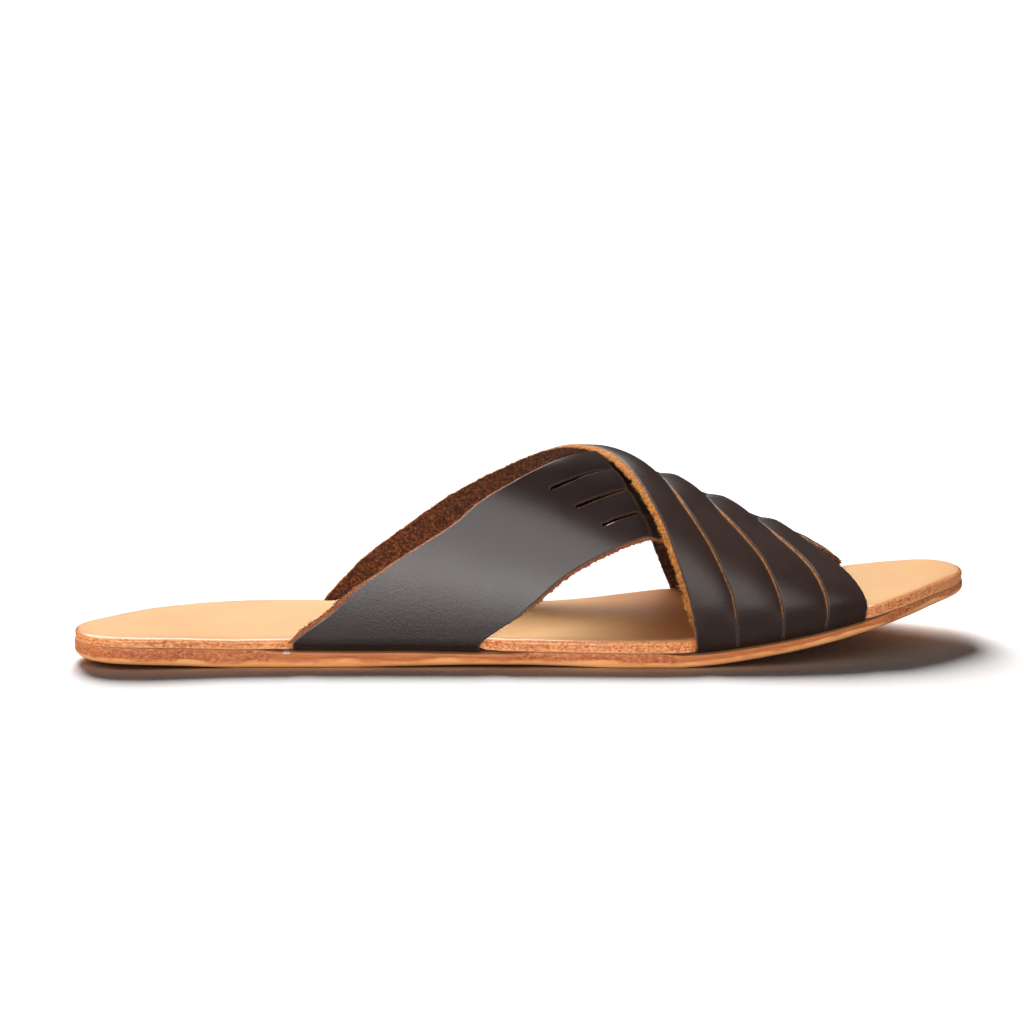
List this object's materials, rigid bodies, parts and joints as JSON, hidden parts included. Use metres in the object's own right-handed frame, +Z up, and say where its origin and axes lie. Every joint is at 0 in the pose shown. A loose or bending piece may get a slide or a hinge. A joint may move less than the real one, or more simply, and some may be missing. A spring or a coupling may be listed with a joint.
{
  "type": "huarache sandal",
  "caption": "Flat leather slide sandal, right foot, with two wide dark straps crossing and interlaced over the instep, open at toe, heel and both sides.",
  "frame": {"origin": "on the ground plane under the middle of the sandal's box", "axes": "+X to the toe, +Y to the medial side, +Z up"},
  "size_m": [0.292, 0.0969, 0.0633],
  "materials": {
    "outsole": "natural vegetable tan, burnished rim over a fibrous cut edge",
    "insole": "smooth vegetable tan, satin, with a glossy burnished rim",
    "strap": "dark brown satin grain, raw orange-brown cut edges and suede flesh side"
  },
  "bodies": {
    "root": {"outsole": "outsole", "insole": "insole", "upper": "strap"}
  },
  "joints": []
}
